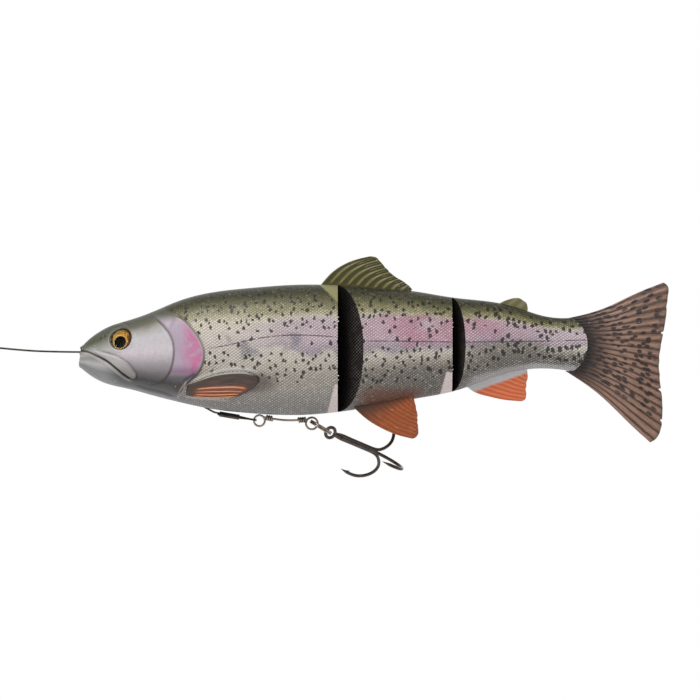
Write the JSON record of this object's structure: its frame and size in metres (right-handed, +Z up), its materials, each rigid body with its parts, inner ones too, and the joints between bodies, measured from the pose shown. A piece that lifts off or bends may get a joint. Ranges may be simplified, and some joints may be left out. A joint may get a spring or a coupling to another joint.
{
  "type": "swimbait",
  "caption": "Jointed soft-bodied trout swimbait on a line-through leader, with a fan tail, fins and a belly treble hook on a wire link.",
  "frame": {"origin": "mouth line port, where the leader leaves the nose", "axes": "+X from the nose to the tail, +Z up through the back, +Y to the fish's right"},
  "size_m": [0.3149, 0.0447, 0.0951],
  "materials": {
    "body_skin": "printed soft vinyl, satin",
    "olive_fin": "satin",
    "orange_fin": "satin",
    "tail_skin": "satin",
    "iris": "printed foil",
    "eye_dome": "clear resin",
    "foam": "closed-cell foam",
    "ballast": "cast, dull",
    "tube": "moulded",
    "joint_steel": "bright",
    "leader_wire": "coated, satin",
    "crimp_metal": "black nickel",
    "rig_wire": "black nickel",
    "hook_steel": "black nickel",
    "swivel_metal": "black nickel"
  },
  "bodies": {
    "head": {"head_section": "body_skin", "left_eye_iris": "iris", "right_eye_iris": "iris", "left_eye_dome": "eye_dome", "right_eye_dome": "eye_dome", "line_tube": "tube", "head_float": "foam", "head_weight": "ballast", "left_pectoral_fin": "orange_fin", "right_pectoral_fin": "orange_fin", "front_joint_upper_eye": "joint_steel", "front_joint_lower_eye": "joint_steel", "leader_inner": "leader_wire", "belly_crimp": "crimp_metal", "leader_front": "leader_wire", "leader_loop": "leader_wire", "leader_crimp": "crimp_metal", "swivel_rear_eye": "swivel_metal"},
    "middle": {"middle_section": "body_skin", "middle_float": "foam", "middle_weight": "ballast", "dorsal_fin": "olive_fin", "left_pelvic_fin": "orange_fin", "right_pelvic_fin": "orange_fin", "front_joint_pin": "joint_steel", "rear_joint_upper_eye": "joint_steel", "rear_joint_lower_eye": "joint_steel"},
    "rear": {"rear_section": "body_skin", "rear_float": "foam", "adipose_fin": "olive_fin", "anal_fin": "orange_fin", "rear_joint_pin": "joint_steel", "tail_pin": "joint_steel"},
    "tail": {"tail_fin": "tail_skin"},
    "link": {"wire_link": "rig_wire"},
    "ring": {"split_ring": "rig_wire"},
    "treble": {"treble_double_hook": "hook_steel", "treble_single_hook": "hook_steel"},
    "swivel_barrel": {"swivel_barrel": "swivel_metal"},
    "swivel_eye": {"swivel_front_eye": "swivel_metal"}
  },
  "joints": [
    {"name": "front_joint", "type": "hinge", "parent": "head", "child": "middle", "pos_m": [0.11085, 0, 0], "axis": [0, 0, 1], "range_deg": [-30, 30]},
    {"name": "rear_joint", "type": "hinge", "parent": "middle", "child": "rear", "pos_m": [0.15915, 0, 0], "axis": [0, 0, 1], "range_deg": [-26, 26]},
    {"name": "tail_sway", "type": "hinge", "parent": "rear", "child": "tail", "pos_m": [0.206, 0, 0], "axis": [0, 0, 1], "range_deg": [-13, 13], "stiffness_Nm_per_rad": 0.01},
    {"name": "link_swing", "type": "hinge", "parent": "head", "child": "link", "pos_m": [0.0743, 0, -0.0289], "axis": [0, 1, 0], "range_deg": [0, 90]},
    {"name": "ring_swing", "type": "hinge", "parent": "link", "child": "ring", "pos_m": [0.0976, 0, -0.0294], "axis": [0.515, 0, 0.8572], "range_deg": [-4, 30]},
    {"name": "treble_swing", "type": "hinge", "parent": "ring", "child": "treble", "pos_m": [0.10528, 0.00274, -0.03402], "axis": [-0.4793, 0.829, 0.288], "range_deg": [0, 80]},
    {"name": "barrel_spin", "type": "hinge", "parent": "head", "child": "swivel_barrel", "pos_m": [-0.0405, 0.00055, 0.0023], "axis": [-0.9947, 0, 0.1032], "continuous": true},
    {"name": "swivel_spin", "type": "hinge", "parent": "swivel_barrel", "child": "swivel_eye", "pos_m": [-0.0405, 0.00055, 0.0023], "axis": [-0.9947, 0, 0.1032], "continuous": true}
  ]
}
